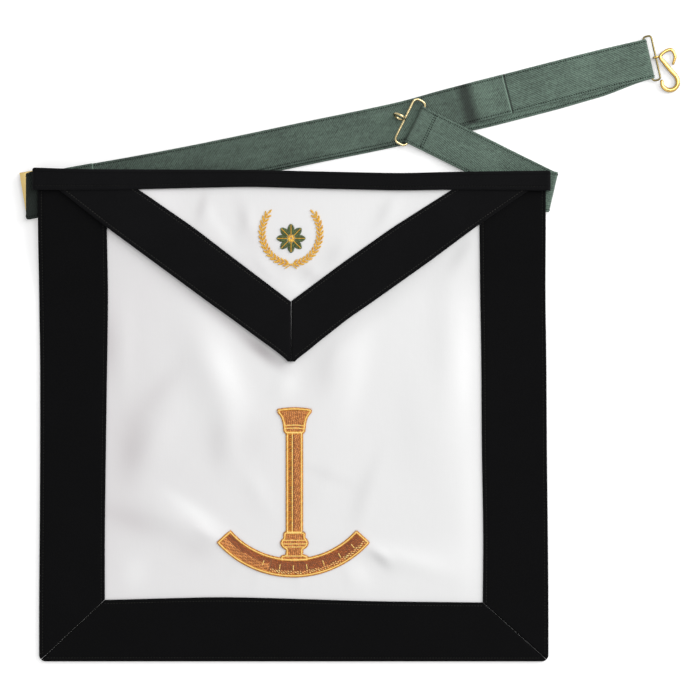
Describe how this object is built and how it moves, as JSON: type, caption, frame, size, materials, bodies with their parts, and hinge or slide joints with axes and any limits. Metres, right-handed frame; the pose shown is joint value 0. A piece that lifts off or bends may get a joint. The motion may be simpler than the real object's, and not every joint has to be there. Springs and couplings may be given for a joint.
{
  "type": "masonic apron",
  "caption": "Fabric lodge apron laid flat: satin ground, velvet bands and pointed flap, raised embroidery, and a webbing belt with slide, loops and snake hook.",
  "frame": {"origin": "on the surface that the apron lies on, at the middle of the whole outline", "axes": "+X to the wearer's left along the waistband, towards the hook; +Y up the apron; +Z out of its front"},
  "size_m": [0.5283, 0.5011, 0.0142],
  "materials": {
    "satin_white": "smooth white satin with a soft sheen",
    "velvet_black": "deep black velvet pile",
    "webbing_green": "ribbed dark green webbing with stitched edges",
    "brass": "polished yellow brass",
    "thread_gold": "gold embroidery thread",
    "thread_bronze": "bronze embroidery thread",
    "thread_green": "green and gold embroidery thread"
  },
  "bodies": {
    "apron": {"satin_panel": "satin_white", "border_left": "velvet_black", "border_right": "velvet_black", "border_bottom": "velvet_black", "flap_panel": "satin_white", "flap_border_left": "velvet_black", "flap_border_right": "velvet_black", "waistband": "velvet_black", "long_strap": "webbing_green", "hook_strap": "webbing_green", "slide_tab": "webbing_green", "strap_slide": "brass", "short_strap": "webbing_green", "column_base": "thread_bronze", "column_shaft": "thread_bronze", "column_capital": "thread_bronze", "arc_scale": "thread_bronze", "wreath_left": "thread_gold", "wreath_right": "thread_gold", "rosette": "thread_green"},
    "hook_loop": {"hook_loop": "brass"},
    "snake_hook": {"snake_hook": "brass"},
    "catch_loop": {"catch_loop": "brass"}
  },
  "joints": [
    {"name": "hook_loop_hinge", "type": "hinge", "parent": "apron", "child": "hook_loop", "pos_m": [0.23905, 0.23143, 0.0021], "axis": [0.2217, -0.9751, 0], "range_deg": [-80, 80]},
    {"name": "snake_hook_hinge", "type": "hinge", "parent": "hook_loop", "child": "snake_hook", "pos_m": [0.24529, 0.23285, 0.0028], "axis": [0.2217, -0.9751, 0], "range_deg": [-90, 90]},
    {"name": "catch_loop_hinge", "type": "hinge", "parent": "apron", "child": "catch_loop", "pos_m": [0.05345, 0.17837, 0.0047], "axis": [0.4415, 0.8973, 0], "range_deg": [0, 100]}
  ]
}
